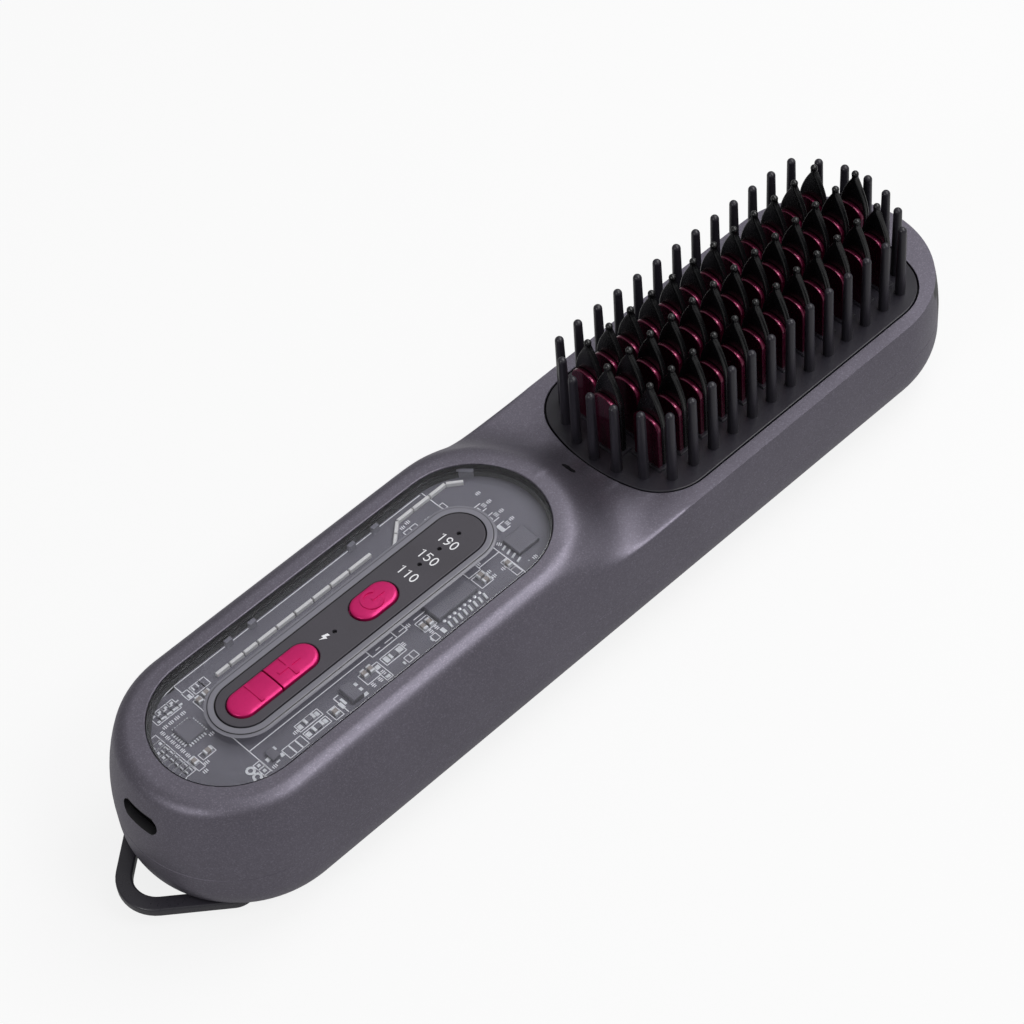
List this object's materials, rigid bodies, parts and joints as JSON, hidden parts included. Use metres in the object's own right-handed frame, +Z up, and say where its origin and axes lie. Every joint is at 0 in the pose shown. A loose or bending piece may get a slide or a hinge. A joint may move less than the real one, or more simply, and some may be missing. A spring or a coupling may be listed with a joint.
{
  "type": "cordless straightening comb",
  "caption": "Cordless heated straightening comb with a clear window over its control board, push buttons, guard pins around heated fins, a charging socket and a hinged hanging loop.",
  "frame": {"origin": "on the flat of the underside, midway along the body", "axes": "+X runs from the tail with the charging socket to the tip of the comb head, +Z points up with the teeth, +Y is to the left of that"},
  "size_m": [0.2264, 0.05, 0.0497],
  "materials": {
    "housing_paint": "satin metallic grey paint over ABS",
    "base_plastic": "satin metallic grey paint over ABS",
    "clear_cover": "polished clear polycarbonate",
    "strip_plastic": "fine matte dark grey",
    "button_plastic": "satin magenta lacquer",
    "white_plastic": "moulded natural nylon",
    "stamped_steel": "bright plated steel",
    "smoked_plastic": "smoked light pipe",
    "led_resin": "clear resin over white",
    "circuit_board": "solder resist over glass fibre laminate",
    "chip_resin": "moulded epoxy",
    "chip_ceramic": "fired ceramic",
    "battery_sleeve": "shrink sleeve over steel can",
    "nickel_strip": "rolled nickel",
    "lead_sleeve": "silicone sleeve",
    "comb_nylon": "satin black heat resistant nylon",
    "bare_aluminium": "cast and milled",
    "anodised_fin": "bright magenta anodised",
    "cap_nylon": "satin black heat resistant nylon",
    "heater_ceramic": "fired ceramic",
    "mica": "pressed mica",
    "tray_plastic": "moulded phenolic",
    "loop_plastic": "moulded black nylon",
    "plug_rubber": "moulded rubber"
  },
  "bodies": {
    "housing": {"upper_housing": "housing_paint", "lower_housing": "base_plastic", "window_cover": "clear_cover", "control_strip": "strip_plastic", "switch_bodies": "stamped_steel", "light_pipes": "smoked_plastic", "board_leds": "led_resin", "control_board": "circuit_board", "microcontroller": "chip_resin", "driver_chip": "chip_resin", "power_chip": "chip_resin", "capacitors": "chip_ceramic", "resistors": "chip_resin", "light_bars": "led_resin", "board_connector": "white_plastic", "charge_board": "circuit_board", "charging_socket": "stamped_steel", "socket_tongue": "chip_resin", "battery_cell_left": "battery_sleeve", "battery_cell_right": "battery_sleeve", "battery_cradle": "white_plastic", "battery_tabs": "nickel_strip", "battery_lead_left": "lead_sleeve", "battery_lead_right": "lead_sleeve", "comb_plate": "comb_nylon", "guard_pins": "comb_nylon", "heating_plate": "bare_aluminium", "fins_left": "anodised_fin", "fins_middle": "anodised_fin", "fins_right": "anodised_fin", "caps_left": "cap_nylon", "caps_middle": "cap_nylon", "caps_right": "cap_nylon", "ceramic_heaters": "heater_ceramic", "mica_sheet": "mica", "heater_clamp": "stamped_steel", "heater_tray": "tray_plastic", "tray_screws": "stamped_steel", "thermal_fuse": "heater_ceramic", "temperature_sensor": "heater_ceramic", "heater_lead_left": "lead_sleeve", "heater_lead_right": "lead_sleeve", "ion_generator": "chip_resin", "ion_outlet": "chip_resin", "hinge_pin": "stamped_steel", "case_screws": "stamped_steel", "screw_plugs": "plug_rubber"},
    "power_button": {"power_button": "button_plastic", "power_stem": "white_plastic"},
    "minus_button": {"minus_button": "button_plastic", "minus_stem": "white_plastic"},
    "plus_button": {"plus_button": "button_plastic", "plus_stem": "white_plastic"},
    "hanging_loop": {"hanging_loop": "loop_plastic"}
  },
  "joints": [
    {"name": "power_button_press", "type": "slide", "parent": "housing", "child": "power_button", "axis": [0, 0, -1], "range_m": [0, 0.0004], "stiffness_N_per_m": 1500},
    {"name": "minus_button_press", "type": "slide", "parent": "housing", "child": "minus_button", "axis": [0, 0, -1], "range_m": [0, 0.0004], "stiffness_N_per_m": 1500},
    {"name": "plus_button_press", "type": "slide", "parent": "housing", "child": "plus_button", "axis": [0, 0, -1], "range_m": [0, 0.0004], "stiffness_N_per_m": 1500},
    {"name": "loop_hinge", "type": "hinge", "parent": "housing", "child": "hanging_loop", "pos_m": [-0.0965, 0, 0.0052], "axis": [0, -1, 0], "range_deg": [0, 180]}
  ]
}
